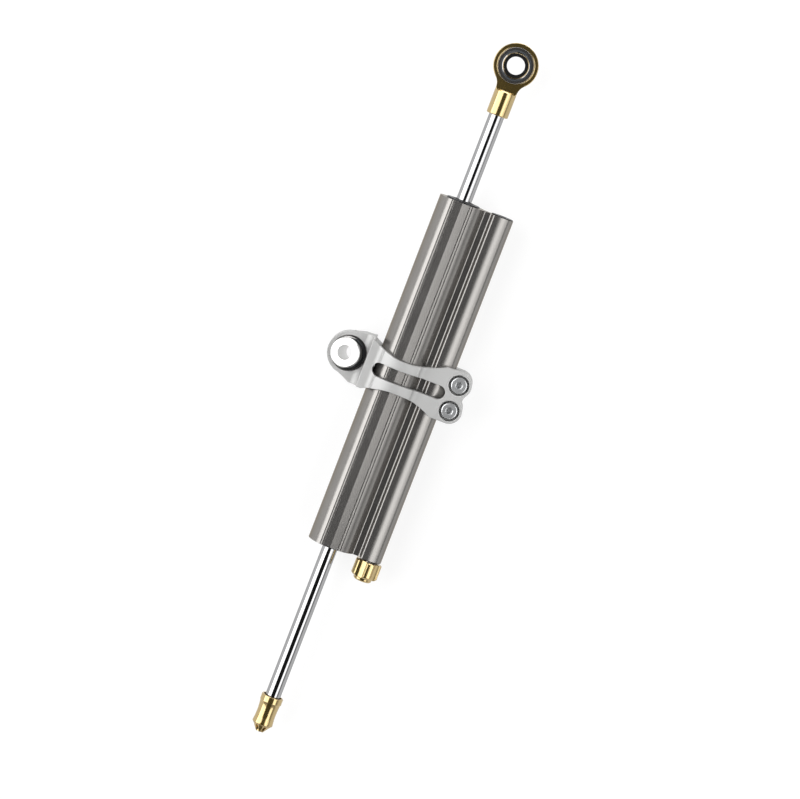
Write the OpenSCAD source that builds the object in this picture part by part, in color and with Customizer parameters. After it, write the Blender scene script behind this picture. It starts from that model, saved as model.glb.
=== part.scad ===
// Motorcycle steering damper: through-rod hydraulic damper with a bypass tube, adjuster and body clamp.
// The damper's axis lies along X with the rod end towards +X. The bypass tube is on the -Y side and
// the clamp's pivot eye on the +Y side. The origin is the centre of the rod end's ball.

/* [Body] */
// Length of the extruded body
body_len = 164.2; // [150:0.2:200]
// Diameter of the main tube
tube_d = 21.6; // [21:0.2:24]
// Diameter of the bypass tube's outer side
bypass_tube_d = 10.5; // [10.3:0.1:11.4]
// Radius of the bypass tube's shallow crown, front and back
bypass_crown_r = 10.6; // [9:0.1:14]
// Distance from the main tube's axis to the top of the bypass tube's crown
bypass_crown_y = 15.8; // [15.4:0.1:16.4]
// Distance from the main tube's axis to the bypass tube's axis
tube_spacing = 18.5; // [18:0.1:19.6]
// Half height of the web that joins the two tubes
web_h = 3.4; // [2.4:0.1:3.6]
// Radius of the fillet between the main tube and the web
web_fillet_main = 1; // [0.4:0.1:1.2]
// Distance from the main tube's axis to the wall of the bypass tube's square shoulder
shoulder_y = 14.2; // [13.9:0.1:14.9]
// Radius of the shoulder's rounded edge
shoulder_edge = 1; // [0.6:0.1:1.2]
// Radius of the fillet between the shoulder and the web
web_fillet_bypass = 1.3; // [0.6:0.1:1.4]
// Width of the land along the main tube
land_w = 8.4; // [6:0.2:10]
// Depth of the land's shallow V in its middle
land_dip = 0.6; // [0.2:0.05:0.8]
// Width of each fine groove beside the land
land_groove = 0.5; // [0.3:0.1:0.7]
// Depth of each fine groove beside the land
land_groove_depth = 0.35; // [0.2:0.05:0.5]
// Distance between the two fine grooves at each edge of the land
land_pair = 1.1; // [0.8:0.1:1.4]
// Bore of the main tube
main_bore_d = 16.6; // [15.8:0.2:17]
// Bore of the bypass tube
bypass_bore_d = 8.4; // [8.2:0.1:8.8]
// Diameter of the cross ports between the two bores
port_d = 3; // [1.5:0.5:4]
// Distance from a seal head's inner face to the cross port's axis
port_inset = 3; // [2.6:0.2:5]

/* [Seal heads] */
// Length of a seal head inside the body
head_len = 19; // [19:0.5:24]
// Diameter of the nose that stands proud of the body
nose_d = 15.4; // [14.8:0.2:16.4]
// Height of the nose above the body's end
nose_h = 0.6; // [0.3:0.1:2]
// Outer diameter of the rod wiper
wiper_d = 10.6; // [10:0.2:11.4]
// Length of the rod wiper
wiper_len = 3; // [2:0.2:4]
// Height of the wiper's lip above the nose
wiper_lip_h = 0.3; // [0.1:0.1:0.8]
// Thickness of the wiper's lip at its top
wiper_lip_t = 0.7; // [0.4:0.1:1]
// Outer diameter of the rod seal
rod_seal_d = 11.6; // [10.6:0.2:12.4]
// Length of the rod seal
rod_seal_len = 3.2; // [2.4:0.2:4]
// Outer diameter of the rod bush
bush_d = 9.4; // [9:0.2:11]
// Length of the rod bush
bush_len = 8; // [4:0.5:9]
// Radial gap between the rod and a seal head's metal
head_gap = 0.4; // [0.2:0.05:0.5]
// Wall left between two pockets in a seal head
pocket_wall = 1.6; // [1:0.1:2]
// Cross-section of the seal head's O-ring
head_oring_t = 1.5; // [1.2:0.1:1.8]
// Diameter of the pin-spanner holes in the nose
spanner_hole_d = 1.5; // [1:0.1:1.8]
// Depth of the pin-spanner holes
spanner_hole_depth = 2.2; // [1:0.2:3]

/* [Rod and piston] */
// Diameter of the piston rod
rod_d = 7; // [6.4:0.2:8]
// Length of rod seen between the rod end and the body
rod_show_top = 41.1; // [36:0.5:60]
// Length of rod seen between the body and the tip
rod_show_bottom = 73.9; // [60:0.1:90]
// Diameter of the threaded spigot at each end of the rod
spigot_d = 6; // [4.5:0.5:6]
// Length of the threaded spigots
spigot_len = 8.6; // [6:0.2:9]
// Room left at the bottom of the blind holes for the spigots
spigot_room = 0.5; // [0.2:0.1:1]
// Length of the piston
piston_len = 12; // [8:0.5:16]
// Radial gap between the piston's body and the bore
piston_gap = 0.3; // [0.2:0.05:0.5]
// Width of the piston's sliding ring
piston_ring_w = 4; // [2:0.5:5]
// Radial thickness of the piston's sliding ring
piston_ring_t = 1.2; // [0.8:0.1:1.6]
// Outer diameter of the piston's snap rings
clip_d = 9.6; // [9:0.2:11]
// Thickness of the piston's snap rings
clip_t = 1; // [0.6:0.1:1.4]
// Width of the mouth in a snap ring
clip_mouth = 2; // [1:0.5:4]
// Depth of the snap-ring grooves in the rod
clip_groove = 0.5; // [0.3:0.1:0.7]

/* [Rod end] */
// Diameter of the eye
eye_d = 20; // [19.2:0.2:24]
// Thickness of the eye across its flats
eye_t = 5.4; // [5.2:0.2:7.4]
// Chamfer on the eye's outer edges
eye_chamfer = 0.2; // [0.1:0.05:0.4]
// Radius of the fillets from the eye to the shank
eye_fillet = 6; // [4:0.5:8]
// Diameter of the round shank
shank_d = 10; // [9.6:0.2:11]
// Length of the round shank
shank_len = 10.7; // [10.2:0.1:16]
// Length of the sloped run-out from the flats to the shank
runout = 0.7; // [0.4:0.1:1.2]
// Chamfer on the turned edges
edge_chamfer = 0.4; // [0.2:0.1:0.6]

/* [Spherical bearings] */
// Outer diameter of a bearing's race
race_d = 16; // [15.6:0.2:16.4]
// Width of a bearing's race
race_w = 5; // [4:0.2:5.4]
// Diameter of a bearing's ball
ball_d = 13.6; // [13:0.2:13.8]
// Width of the ball across its flat faces
ball_w = 8; // [7.6:0.2:9]
// Bore of the ball
ball_bore = 8; // [7.6:0.2:8.6]
// Thickness of the sliding liner between race and ball
liner_t = 0.4; // [0.2:0.05:0.5]

/* [Rod tip] */
// Overall length of the tip
tip_len = 17.3; // [15:0.1:24]
// Diameter of the tip's upper band
tip_band_d = 10.1; // [9.8:0.1:12]
// Length of the tip's upper band
tip_band_len = 3.1; // [2:0.1:4]
// Depth of the recess round the rod
tip_recess = 1.4; // [0.6:0.1:2]
// Wall of the band round the recess
tip_recess_wall = 0.8; // [0.5:0.1:1]
// Diameter of the tip's waist
tip_waist_d = 8.9; // [8.4:0.1:9.4]
// Length of the notched end of the tip
tip_end_len = 3.6; // [2:0.1:4.4]
// Diameter of the notched end where it leaves the flare
tip_end_d = 8.8; // [8:0.1:9.4]
// Diameter of the tip's end face
tip_face_d = 3.6; // [3:0.1:6]
// Width of the notches in the end of the tip
notch_w = 1.2; // [0.6:0.1:1.6]
// Number of notches in the end of the tip
notch_count = 6; // [3:1:8]

/* [Clamp] */
// Distance from the body's upper end to the clamp's middle
clamp_from_top = 81.95; // [30:0.5:120]
// Diameter of the crown over the main tube
crown_d = 27.8; // [27:0.2:32]
// Radius of the hollow between the crown and the flat part of the arms
crown_blend = 3; // [1:0.5:5]
// Half thickness of the flat part of the arms
arm_h = 8.9; // [8.5:0.1:10]
// Width of the arms at their narrow neck
neck_w = 14.5; // [13:0.5:17]
// Width of the clamp's end beside the pivot eye
heel_w = 23.5; // [20:0.5:28]
// Distance from the main tube's axis to the heel's outer wall
heel_y = 15.2; // [14:0.2:18]
// Offset of the heel along the body from the clamp's middle
heel_offset = 1; // [0:0.1:2]
// Radius of the waist curve on the heel's side
waist_r_heel = 24; // [20:1:30]
// Radius of the waist curve on the screws' side
waist_r_toe = 36; // [30:1:50]
// Place across the body of the heel side's waist curve
waist_y_heel = -1; // [-3:0.5:0]
// Place across the body of the screw side's waist curve
waist_y_toe = -2.5; // [-4:0.5:-1]
// Width of the long window in each arm
window_w = 6.2; // [3:0.2:7]
// Length of the long window in each arm
window_len = 34.2; // [20:0.2:34.4]
// Wall between the window and the screw heads
window_wall = 0.8; // [0.6:0.1:2]
// Room between the arms and the web that joins the tubes
web_room = 1; // [0.3:0.1:1.2]
// Gap between the two arms at the screws
split_gap = 2; // [1:0.2:3]

/* [Clamp pivot eye] */
// Diameter of the pivot eye
pivot_eye_d = 19.6; // [19.2:0.1:24]
// Thickness of the pivot eye
pivot_eye_t = 8; // [5.6:0.2:9]
// Distance from the main tube's axis to the pivot's centre
pivot_y = 23.3; // [22.8:0.1:28]
// Offset of the pivot along the body from the clamp's middle
pivot_offset = 1.5; // [0:0.1:2.5]
// Radius of the fillet from the eye's face up to the heel
heel_fillet = 3.6; // [2:0.2:4.4]
// Width of the eye's square shoulders beyond the heel
shoulder_len = 4; // [2:0.5:4.5]
// Diameter of the spot face behind the eye that gives the sleeves room to swing
relief_d = 18; // [17.4:0.2:19]

/* [Clamp screws] */
// Nominal diameter of the clamp screws
screw_d = 4; // [3:0.5:4.5]
// Diameter of a screw head
screw_head_d = 7.4; // [6.6:0.2:8]
// Height of a screw head
screw_head_h = 3.8; // [2.6:0.2:4]
// Depth of a screw head's top below the arm's face
screw_sink = 0.5; // [0.1:0.1:1]
// Radial room round a screw head in its counterbore
head_room = 0.9; // [0.4:0.1:1]
// Length of a screw under its head
screw_len = 12; // [9:0.5:13]
// Hexagon socket across its corners
socket_d = 3.4; // [2.4:0.1:3.6]
// Depth of the hexagon socket
socket_depth = 2; // [1:0.2:2.4]
// Distance between the two screws
screw_spacing = 12.1; // [11.4:0.1:13]
// Distance from the main tube's axis to the screws
screw_y = 27.5; // [27.4:0.1:32]
// Radius of the rounded lobe round each screw
lobe_r = 5.7; // [5.4:0.1:6.6]
// Radius of the hollow between the two lobes
lobe_hollow_r = 4.9; // [3:0.1:8]

/* [Pivot sleeves] */
// Tilt of the sleeves at rest, away from the body at the front
sleeve_tilt = 12; // [0:1:13]
// Overall length of the two sleeves and the ball together
sleeve_len = 16; // [14.4:0.2:20]
// Diameter of a sleeve's flange
sleeve_d = 13.6; // [11:0.1:13.8]
// Bore through the sleeves
sleeve_bore = 6.6; // [5:0.1:7]
// Height of the undercut cone beside the ball
sleeve_cone = 2.2; // [1.4:0.1:2.6]
// Diameter of a sleeve's shoulder on the ball
sleeve_shoulder_d = 10.2; // [9:0.1:10.6]

/* [Adjuster] */
// Diameter of the knob
knob_d = 12.5; // [11:0.1:14]
// Length of the knob's fluted part
knob_len = 7.5; // [7:0.1:10]
// Length of the knob's smaller end
knob_end_len = 1.8; // [1:0.1:3]
// Diameter of the knob's smaller end
knob_end_d = 8.4; // [6:0.1:9]
// Gap between the body's end and the knob
knob_gap = 0.9; // [0.9:0.1:1.4]
// Number of flutes round the knob
flute_count = 5; // [4:1:8]
// Radius of a flute
flute_r = 4.3; // [3:0.1:6]
// Depth of a flute
flute_depth = 1.05; // [0.4:0.05:1.3]
// Diameter of the needle where the knob sits on it
spindle_d = 4; // [3.4:0.2:4.4]
// Depth of the knob's blind bore
knob_bore_depth = 7.2; // [5:0.2:7.4]
// Diameter of the needle's threaded collar
collar_d = 5; // [4.6:0.2:5.4]
// Length of the needle's threaded collar
collar_len = 10; // [6:0.5:10]
// Diameter of the needle's stem
stem_d = 3.6; // [3:0.2:4]
// Rise of the needle's cone for each unit of length
cone_slope = 0.22; // [0.15:0.01:0.3]
// Diameter of the valve seat's orifice
orifice_d = 2.4; // [1.6:0.1:2.6]
// Length of the valve seat
seat_len = 5; // [3:0.5:8]
// Distance from the lower port's axis to the valve seat
seat_from_port = 4; // [3:0.5:6]
// Radial gap at the valve seat in the middle setting
valve_gap = 0.12; // [0.1:0.01:0.2]
// Nominal diameter of the knob's grub screw
grub_d = 2.5; // [2:0.5:3]
// Depth of the hexagon socket in the grub screw
grub_socket_depth = 1; // [0.6:0.1:1.4]
// Angle of the knob's first flute, from the -Y side towards the front
knob_turn = 111; // [0:1:359]

/* [Bypass plug and gland] */
// Diameter of the flat head of the plug and the gland
plug_head_d = 10; // [9.2:0.1:10.6]
// Thickness of the flat head
plug_head_h = 0.4; // [0.3:0.1:0.5]
// Overall length of the bypass plug
plug_len = 9; // [7:0.5:14]
// Overall length of the adjuster gland
gland_len = 16; // [15.4:0.2:17.4]
// Cross-section of the plug's and the gland's O-ring
plug_oring_t = 1; // [0.8:0.1:1.1]
// Cross-section of the needle's O-ring
stem_oring_t = 1.2; // [0.8:0.1:1.4]
// Hexagon socket in the plug, across its corners
plug_socket_d = 4.6; // [3:0.1:5]
// Depth of the hexagon socket in the plug
plug_socket_depth = 3; // [1:0.5:4]
// Distance from the body's end to the plug's and the gland's O-ring
insert_oring_depth = 3.8; // [2:0.1:5]
// Wall of the gland beyond the needle's O-ring
gland_lip = 1.2; // [0.8:0.1:1.4]

/* [Clearances] */
// Radial gap of a pressed or screwed seat
seat_gap = 0.05; // [0.02:0.01:0.08]
// Radial running clearance of a sliding or turning fit
run_gap = 0.05; // [0.03:0.01:0.08]
// Radial gap of a clearance hole round a screw
bolt_gap = 0.2; // [0.1:0.05:0.3]
// Gap between the clamp's bore and the body
clamp_gap = 0.08; // [0.05:0.01:0.1]
// Gap between flat faces that pass or meet each other
face_gap = 0.05; // [0.02:0.01:0.1]

/* [Hidden] */
$fn = 72;
// How far a cutting shape reaches past what it cuts
over = 1;
// Small chamfer on turned and pressed pieces
fine_chamfer = 0.3;
// Axial play of an O-ring in its groove
oring_play = 0.5;
// Slimming of an O-ring's section, so that it lies free in its groove
oring_slim = 0.1;

titanium = [0.53, 0.51, 0.49];
gold = [0.83, 0.62, 0.24];
chrome = [0.82, 0.82, 0.83];
silver = [0.8, 0.8, 0.79];
dark_steel = [0.2, 0.2, 0.21];
black = [0.09, 0.09, 0.1];
bronze = [0.66, 0.5, 0.3];
liner_blue = [0.25, 0.3, 0.34];

// A fillet starts this far inside the round that it leaves
rim_bite = 0.02;
// The eye's fillets end this far inside the shank's radius
neck_bite = 0.1;
fillet_reach = eye_d / 2 + eye_fillet - rim_bite;
fillet_y = shank_d / 2 - neck_bite + eye_fillet;
fillet_x = sqrt(fillet_reach * fillet_reach - fillet_y * fillet_y);
shank_start = fillet_x + runout + fine_chamfer;
shank_end = shank_start + shank_len;

// Places along X
body_top = -(shank_end + rod_show_top);
body_bottom = body_top - body_len;
tip_top = body_bottom - rod_show_bottom;
piston_x = -(shank_end - tip_top) / 2;
clamp_x = body_top - clamp_from_top;
upper_port_x = body_top - head_len - port_inset;
lower_port_x = body_bottom + head_len + port_inset;
seat_x = lower_port_x + seat_from_port;

// Depths in a seal head, measured down from the nose's face
seal_depth = wiper_len + pocket_wall;
oring_depth = seal_depth + rod_seal_len + pocket_wall / 2;
head_oring_w = head_oring_t + oring_play;

// The body's section
tube_r = tube_d / 2;
bypass_r = bypass_tube_d / 2;
land_z = sqrt(tube_r * tube_r - land_w * land_w / 4);
bypass_crown_z = -sqrt(pow(bypass_crown_r - bypass_r + rim_bite, 2) - pow(tube_spacing - bypass_crown_y, 2));
shoulder_round_y = shoulder_y + shoulder_edge;
shoulder_round_z = bypass_crown_z - shoulder_edge
    + sqrt(pow(bypass_crown_r, 2) - pow(bypass_crown_y - shoulder_round_y, 2));
web_fillet_z = web_h + web_fillet_main;
web_fillet_y = -sqrt(pow(tube_r + web_fillet_main - rim_bite, 2) - web_fillet_z * web_fillet_z);

// The grub screw sits in the second flute after the first, on the knob's back
grub_turn = knob_turn + 2 * 360 / flute_count;

// The needle, measured into the body from its lower end
needle_end = knob_gap + knob_bore_depth - fine_chamfer;
collar_start = 0.5;
collar_end = collar_start + collar_len;
// Room beyond the collar for the needle's travel
collar_travel = 1;
stem_groove_w = stem_oring_t + oring_play;
stem_oring_depth = gland_len - gland_lip - stem_groove_w / 2;
seat_depth = seat_x - body_bottom;
// Radius of the needle's point
cone_end_r = 0.5;
cone_start = seat_depth - (stem_d / 2 - orifice_d / 2 + valve_gap) / cone_slope;
cone_len = (stem_d / 2 - cone_end_r) / cone_slope;

// Stands a shape that is drawn along Z on the damper's axis, with its base at x and its top towards +X
module along_x(x, y = 0) {
    translate([x, y, 0]) rotate([90, 0, 90]) children();
}

// The same, with its top towards -X
module against_x(x, y = 0) {
    translate([x, y, 0]) rotate([90, 0, -90]) children();
}

module tube(d_out, d_in, h) {
    difference() {
        cylinder(d = d_out, h = h);
        translate([0, 0, -over]) cylinder(d = d_in, h = h + 2 * over);
    }
}

// Cylinder from z = 0 with a chamfer at each end
module chamfered(d, h, low, high) {
    rotate_extrude() polygon([
        [0, 0], [d / 2 - low, 0], [d / 2, low], [d / 2, h - high], [d / 2 - high, h], [0, h]
    ]);
}

// Cuts a groove for an O-ring of section t into a shaft of diameter d, w wide and centred on z = 0
module oring_groove(d, t, w) {
    difference() {
        translate([0, 0, -w / 2]) cylinder(d = d + 2 * over, h = w);
        translate([0, 0, -w]) cylinder(d = d - 2 * t, h = 2 * w);
    }
}

module oring(d, t) {
    rotate_extrude() translate([d / 2 - t / 2, 0]) circle(d = t - oring_slim, $fn = 32);
}

// Outline of the extrusion, looking along +X: the first axis is Y and the second is Z
module body_section() {
    difference() {
        union() {
            circle(r = tube_r);
            translate([-tube_spacing, 0]) circle(r = bypass_r);
            translate([-tube_spacing, -web_h]) square([tube_spacing, 2 * web_h]);
            for (side = [1, -1]) scale([1, side]) {
                bypass_shoulder();
                web_fillets();
            }
        }
        for (side = [1, -1]) scale([1, side]) {
            polygon([
                [-land_w / 2, land_z], [0, land_z - land_dip], [land_w / 2, land_z],
                [land_w / 2, tube_r + over], [-land_w / 2, tube_r + over]
            ]);
            for (y = [land_w / 2 - land_pair / 2, land_w / 2 + land_pair / 2], way = [1, -1])
                translate([way * y - land_groove / 2, groove_z(y) - land_groove_depth])
                    square([land_groove, land_groove_depth + over]);
        }
    }
}

// Upper half of the bypass tube's shallow crown, from the tube's outer side to a wall on its inner side
module bypass_crown(wall_y, room) {
    reach = 2 * bypass_r;
    rounds_apart = bypass_crown_r - bypass_r;
    intersection() {
        translate([-bypass_crown_y, bypass_crown_z]) circle(r = bypass_crown_r + room);
        polygon([
            [-wall_y, 0], [-tube_spacing, 0],
            [-tube_spacing - reach * (tube_spacing - bypass_crown_y) / rounds_apart,
             -reach * bypass_crown_z / rounds_apart],
            [-wall_y, reach]
        ]);
    }
}

// Upper half of the square shoulder on the bypass tube's inner side, with a rounded edge
module bypass_shoulder() {
    bypass_crown(shoulder_round_y, 0);
    translate([-tube_spacing, 0]) square([tube_spacing - shoulder_y, shoulder_round_z]);
    translate([-shoulder_round_y, shoulder_round_z]) circle(r = shoulder_edge);
}

// Fillets from the web up to the main tube and up to the shoulder
module web_fillets() {
    corner = web_fillet_bypass + over;
    difference() {
        polygon([
            [0, web_h - over], [web_fillet_y * tube_r / (tube_r + web_fillet_main), web_fillet_z],
            [web_fillet_y, web_fillet_z], [web_fillet_y, web_h - over]
        ]);
        translate([web_fillet_y, web_fillet_z]) circle(r = web_fillet_main);
    }
    difference() {
        translate([-shoulder_y - over, web_h - over]) square([corner, corner]);
        translate([-shoulder_y + web_fillet_bypass, web_h + web_fillet_bypass]) circle(r = web_fillet_bypass);
    }
}

// Height of the body's surface where a fine groove is cut, on the land or on the round beside it
function groove_z(y) = min(land_z, sqrt(tube_r * tube_r - y * y));

module barrel() {
    color(titanium) difference() {
        along_x(body_bottom) linear_extrude(body_len) body_section();
        along_x(body_bottom - over) cylinder(d = main_bore_d, h = body_len + 2 * over);
        along_x(body_bottom - over, -tube_spacing) cylinder(d = bypass_bore_d, h = body_len + 2 * over);
        for (x = [upper_port_x, lower_port_x])
            translate([x, 0, 0]) rotate([90, 0, 0]) cylinder(d = port_d, h = tube_spacing);
    }
}

// Seal head with its nose's face at z = nose_h and the body's end at z = 0
module seal_head() {
    head_d = main_bore_d - 2 * seat_gap;
    difference() {
        union() {
            translate([0, 0, -head_len]) cylinder(d = head_d, h = head_len);
            translate([0, 0, -over]) chamfered(nose_d, nose_h + over, 0, edge_chamfer / 2);
        }
        translate([0, 0, -head_len - over]) cylinder(d = rod_d + 2 * head_gap, h = head_len + nose_h + 2 * over);
        translate([0, 0, nose_h - wiper_len - face_gap])
            cylinder(d = wiper_d + 2 * seat_gap, h = wiper_len + over);
        translate([0, 0, nose_h - seal_depth - rod_seal_len - face_gap])
            cylinder(d = rod_seal_d + 2 * seat_gap, h = rod_seal_len + 2 * face_gap);
        translate([0, 0, -head_len - over])
            cylinder(d = bush_d + 2 * seat_gap, h = bush_len + face_gap + over);
        translate([0, 0, nose_h - oring_depth - head_oring_w / 2])
            oring_groove(head_d, head_oring_t, head_oring_w);
        for (side = [0, 180]) rotate(side)
            translate([(wiper_d + nose_d) / 4, 0, nose_h - spanner_hole_depth])
                cylinder(d = spanner_hole_d, h = spanner_hole_depth + over);
    }
}

module at_both_heads() {
    along_x(body_top) children();
    against_x(body_bottom) children();
}

module upper_seal_head() {
    color(black) along_x(body_top) seal_head();
}

module lower_seal_head() {
    color(black) against_x(body_bottom) seal_head();
}

// Wiper with a raised lip round the rod
module rod_wipers() {
    color(black) at_both_heads() translate([0, 0, nose_h - wiper_len]) difference() {
        union() {
            cylinder(d = wiper_d, h = wiper_len - fine_chamfer);
            cylinder(d1 = wiper_d, d2 = rod_d + 2 * wiper_lip_t, h = wiper_len + wiper_lip_h);
        }
        translate([0, 0, -over]) cylinder(d = rod_d + 2 * run_gap, h = wiper_len + 2 * over);
    }
}

// U-section seal, open towards the oil
module rod_seals() {
    lip = (rod_seal_d - rod_d) / 4;
    color(dark_steel) at_both_heads() translate([0, 0, nose_h - seal_depth - rod_seal_len]) difference() {
        tube(rod_seal_d, rod_d + 2 * run_gap, rod_seal_len);
        rotate_extrude() translate([rod_d / 2 + lip, 0])
            polygon([[-lip / 2, -over], [lip / 2, -over], [lip / 4, rod_seal_len / 2], [-lip / 4, rod_seal_len / 2]]);
    }
}

module rod_bushes() {
    color(bronze) at_both_heads() translate([0, 0, -head_len]) tube(bush_d, rod_d + 2 * run_gap, bush_len);
}

module seal_head_o_rings() {
    color(black) at_both_heads() translate([0, 0, nose_h - oring_depth - head_oring_w / 2])
        oring(main_bore_d - 2 * seat_gap, head_oring_t);
}

module piston_rod() {
    clip_x = piston_len / 2 + face_gap;
    rod_top = -shank_end;
    rod_bottom = tip_top - tip_recess;
    color(chrome) difference() {
        union() {
            along_x(rod_bottom) cylinder(d = rod_d, h = rod_top - rod_bottom);
            along_x(rod_bottom - spigot_len) chamfered(spigot_d, spigot_len + over, edge_chamfer, 0);
            along_x(rod_top - over) chamfered(spigot_d, spigot_len + over, 0, edge_chamfer);
        }
        for (x = [piston_x + clip_x, piston_x - clip_x - clip_t - 2 * face_gap])
            along_x(x) tube(rod_d + 2 * over, rod_d - 2 * clip_groove, clip_t + 2 * face_gap);
    }
}

module piston() {
    piston_d = main_bore_d - 2 * piston_gap;
    color(silver) along_x(piston_x - piston_len / 2) difference() {
        chamfered(piston_d, piston_len, edge_chamfer, edge_chamfer);
        translate([0, 0, -over]) cylinder(d = rod_d + 2 * run_gap, h = piston_len + 2 * over);
        translate([0, 0, piston_len / 2])
            oring_groove(piston_d, piston_ring_t - piston_gap + run_gap, piston_ring_w + 2 * face_gap);
    }
}

module piston_ring() {
    ring_d = main_bore_d - 2 * run_gap;
    color(bronze) along_x(piston_x - piston_ring_w / 2)
        tube(ring_d, ring_d - 2 * (piston_ring_t - run_gap), piston_ring_w);
}

module piston_clips() {
    color(dark_steel) for (side = [1, -1])
        along_x(piston_x + side * (piston_len / 2 + 2 * face_gap + clip_t / 2) - clip_t / 2) difference() {
            tube(clip_d, rod_d - 2 * clip_groove + 2 * face_gap, clip_t);
            translate([0, -clip_mouth / 2, -over]) cube([clip_d, clip_mouth, clip_t + 2 * over]);
        }
}

module rod_end() {
    color(gold) difference() {
        union() {
            translate([0, 0, -eye_t / 2]) chamfered(eye_d, eye_t, eye_chamfer, eye_chamfer);
            intersection() {
                translate([0, 0, -eye_t / 2]) linear_extrude(eye_t) eye_neck();
                along_x(-shank_start) cylinder(r1 = shank_d / 2, r2 = shank_d / 2 + eye_fillet, h = shank_start);
            }
            along_x(-shank_end) chamfered(shank_d, shank_len + runout, edge_chamfer, runout);
        }
        translate([0, 0, -eye_t]) cylinder(d = race_d + 2 * seat_gap, h = 2 * eye_t);
        for (side = [0, 180]) rotate([side, 0, 0])
            translate([0, 0, eye_t / 2 - edge_chamfer])
                cylinder(d1 = race_d, d2 = race_d + 4 * edge_chamfer, h = 2 * edge_chamfer);
        along_x(-shank_end - over) cylinder(d = spigot_d + 2 * seat_gap, h = spigot_len + spigot_room + over);
    }
}

// Neck between the eye and the shank, hollowed by a fillet on each side
module eye_neck() {
    difference() {
        polygon([[0, 0], [-fillet_x, fillet_y], [-shank_start, fillet_y], [-shank_start, -fillet_y],
                 [-fillet_x, -fillet_y]]);
        for (side = [1, -1]) {
            translate([-fillet_x, side * fillet_y]) circle(r = eye_fillet);
            translate([-fillet_x - 2 * eye_fillet, side * (fillet_y - eye_fillet / 2) - eye_fillet / 2])
                square([2 * eye_fillet, eye_fillet]);
        }
    }
}

// The three rings of a spherical bearing, centred on the origin with the bore along Z
module bearing_race() {
    translate([0, 0, -race_w / 2]) difference() {
        chamfered(race_d, race_w, fine_chamfer, fine_chamfer);
        translate([0, 0, race_w / 2]) sphere(d = ball_d + 2 * liner_t + 2 * seat_gap);
    }
}

module bearing_liner() {
    difference() {
        intersection() {
            sphere(d = ball_d + 2 * liner_t);
            translate([0, 0, -race_w / 2]) cylinder(d = race_d, h = race_w);
        }
        sphere(d = ball_d + 2 * run_gap);
    }
}

module bearing_ball() {
    difference() {
        intersection() {
            sphere(d = ball_d);
            translate([0, 0, -ball_w / 2]) cylinder(d = ball_d, h = ball_w);
        }
        translate([0, 0, -ball_w]) cylinder(d = ball_bore, h = 2 * ball_w);
    }
}

module rod_end_race() {
    color(dark_steel) bearing_race();
}

module rod_end_liner() {
    color(liner_blue) bearing_liner();
}

module rod_end_ball() {
    color(dark_steel) bearing_ball();
}

// Tip: a band with a recess round the rod, a waist, a flare and a notched end
module rod_tip() {
    band_r = tip_band_d / 2;
    waist_r = tip_waist_d / 2;
    flare_r = band_r - edge_chamfer / 2;
    flare_h = tip_end_len + edge_chamfer;
    waist_top = tip_len - tip_band_len;
    waist_h = waist_top - flare_h;
    bow = flare_r - waist_r;
    waist_curve = (waist_h * waist_h / 4 + bow * bow) / (2 * bow);
    color(gold) along_x(tip_top - tip_len) difference() {
        union() {
            cylinder(d1 = tip_face_d, d2 = tip_end_d, h = tip_end_len);
            translate([0, 0, tip_end_len]) cylinder(r1 = flare_r - edge_chamfer, r2 = flare_r, h = edge_chamfer);
            translate([0, 0, waist_top]) chamfered(tip_band_d, tip_band_len, edge_chamfer / 2, edge_chamfer / 2);
            difference() {
                translate([0, 0, flare_h]) cylinder(r = flare_r, h = waist_h);
                rotate_extrude() translate([waist_r + waist_curve, flare_h + waist_h / 2])
                    circle(r = waist_curve, $fn = 160);
            }
        }
        translate([0, 0, tip_len - tip_recess])
            cylinder(r = band_r - tip_recess_wall, h = tip_recess + over);
        translate([0, 0, tip_len - tip_recess - spigot_len - spigot_room])
            cylinder(d = spigot_d + 2 * seat_gap, h = spigot_len + spigot_room + over);
        for (i = [0 : notch_count - 1]) rotate(i * 360 / notch_count)
            translate([tip_face_d / 2 - edge_chamfer, -notch_w / 2, -over])
                cube([tip_end_d, notch_w, tip_end_len + over - edge_chamfer]);
    }
}

// Plan of the clamp's arms about the clamp's middle: the first axis is X and the second is Y
module arm_plan() {
    neck = neck_w / 2;
    hollow_y = -screw_y - sqrt(pow(lobe_r + lobe_hollow_r, 2) - pow(screw_spacing / 2, 2));
    difference() {
        union() {
            translate([heel_offset - heel_w / 2, -over]) square([heel_w, heel_y + over]);
            translate([-screw_spacing / 2 - lobe_r, -screw_y]) square([screw_spacing + 2 * lobe_r, screw_y]);
            for (side = [1, -1]) translate([side * screw_spacing / 2, -screw_y]) circle(r = lobe_r);
            polygon([[-screw_spacing / 2, -screw_y], [0, hollow_y], [screw_spacing / 2, -screw_y]]);
        }
        translate([0, hollow_y]) circle(r = lobe_hollow_r);
        for (side = [1, -1]) {
            translate([side * (neck + waist_r_heel), waist_y_heel]) circle(r = waist_r_heel);
            translate([side * (neck + waist_r_toe), waist_y_toe]) circle(r = waist_r_toe, $fn = 144);
        }
        translate([-window_w / 2, 0]) window();
    }
}

// Long window with round ends
module window() {
    end_y = screw_y - screw_head_d / 2 - window_wall - window_w / 2;
    for (y = [-end_y, window_len - window_w - end_y])
        translate([window_w / 2, y]) circle(d = window_w);
    translate([0, -end_y]) square([window_w, window_len - window_w]);
}

// Plan of the pivot eye and its shoulders
module pivot_plan() {
    shoulder_y = heel_y + shoulder_len;
    translate([pivot_offset, pivot_y]) circle(d = pivot_eye_d);
    flank_y = pivot_y + over;
    polygon([
        [heel_offset - heel_w / 2, heel_y - over], [heel_offset - heel_w / 2, shoulder_y],
        [pivot_offset - pivot_eye_d / 2, flank_y], [pivot_offset + pivot_eye_d / 2, flank_y],
        [heel_offset + heel_w / 2, shoulder_y], [heel_offset + heel_w / 2, heel_y - over]
    ]);
}

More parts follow.
